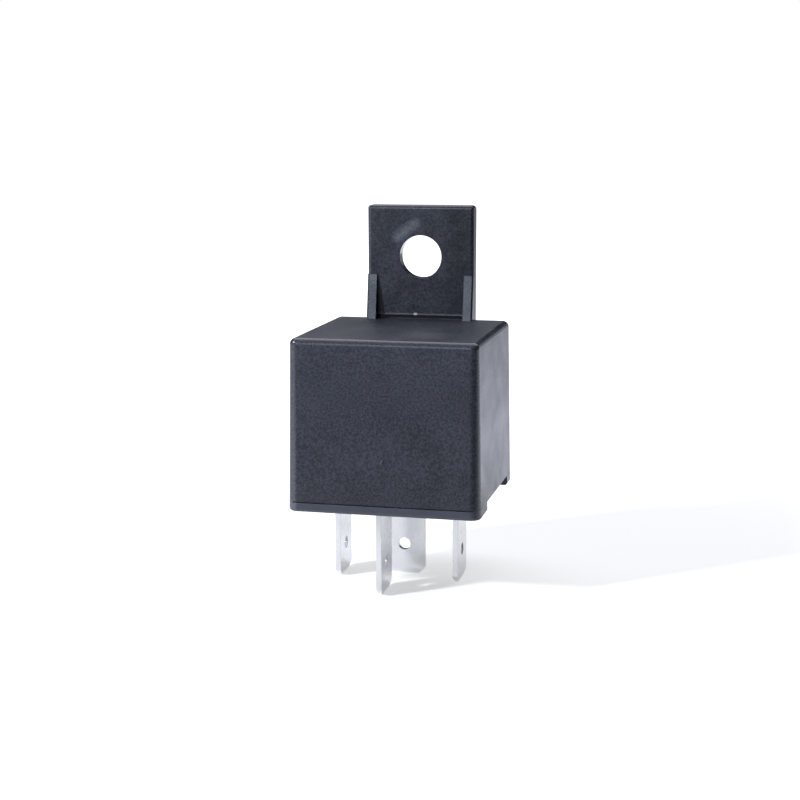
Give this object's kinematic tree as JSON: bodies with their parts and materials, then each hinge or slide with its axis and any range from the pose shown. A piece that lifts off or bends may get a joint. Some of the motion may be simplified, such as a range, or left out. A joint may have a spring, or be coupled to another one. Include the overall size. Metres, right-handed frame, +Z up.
{
  "type": "automotive relay",
  "caption": "Plug-in cube relay for vehicles: drafted plastic cover with a drilled fixing tab, blade terminals below, and a hinged armature with a break contact inside.",
  "frame": {"origin": "centre of the body seen from above, at the height of the blade tips", "axes": "+Z up through the cover towards the fixing tab, +Y out of the flat back that the tab shares, blades point to -Z"},
  "size_m": [0.028, 0.027, 0.0543],
  "materials": {
    "cover_plastic": "fine moulded grain, satin",
    "base_plastic": "moulded, satin",
    "tinned_brass": "matt tin plating over brass",
    "relay_iron": "zinc plated",
    "bobbin_nylon": "natural nylon",
    "enamelled_copper": "enamelled wire",
    "coil_tape": "polyester film",
    "spring_bronze": "rolled bronze strip",
    "resistor_coat": "lacquered, tinned leads",
    "contact_silver": "silver alloy"
  },
  "bodies": {
    "housing": {"cover": "cover_plastic", "base": "base_plastic", "terminal_30": "tinned_brass", "terminal_85": "tinned_brass", "terminal_86": "tinned_brass", "terminal_87a": "tinned_brass", "yoke": "relay_iron", "core": "relay_iron", "bobbin": "bobbin_nylon", "coil_winding": "enamelled_copper", "coil_tape": "coil_tape", "coil_lead_85": "enamelled_copper", "coil_lead_86": "enamelled_copper", "coil_resistor": "resistor_coat", "fixed_contact": "contact_silver", "spring_rivets_yoke": "spring_bronze"},
    "armature_group": {"armature": "relay_iron", "contact_spring": "spring_bronze", "moving_contact": "contact_silver", "spring_rivets_armature": "spring_bronze"}
  },
  "joints": [
    {"name": "armature_pivot", "type": "hinge", "parent": "housing", "child": "armature_group", "pos_m": [0, -0.011, 0.03042], "axis": [-1, 0, 0], "range_deg": [0, 4], "stiffness_Nm_per_rad": 0.02, "springref_deg": -8.59, "deforming": ["contact_spring"]}
  ]
}
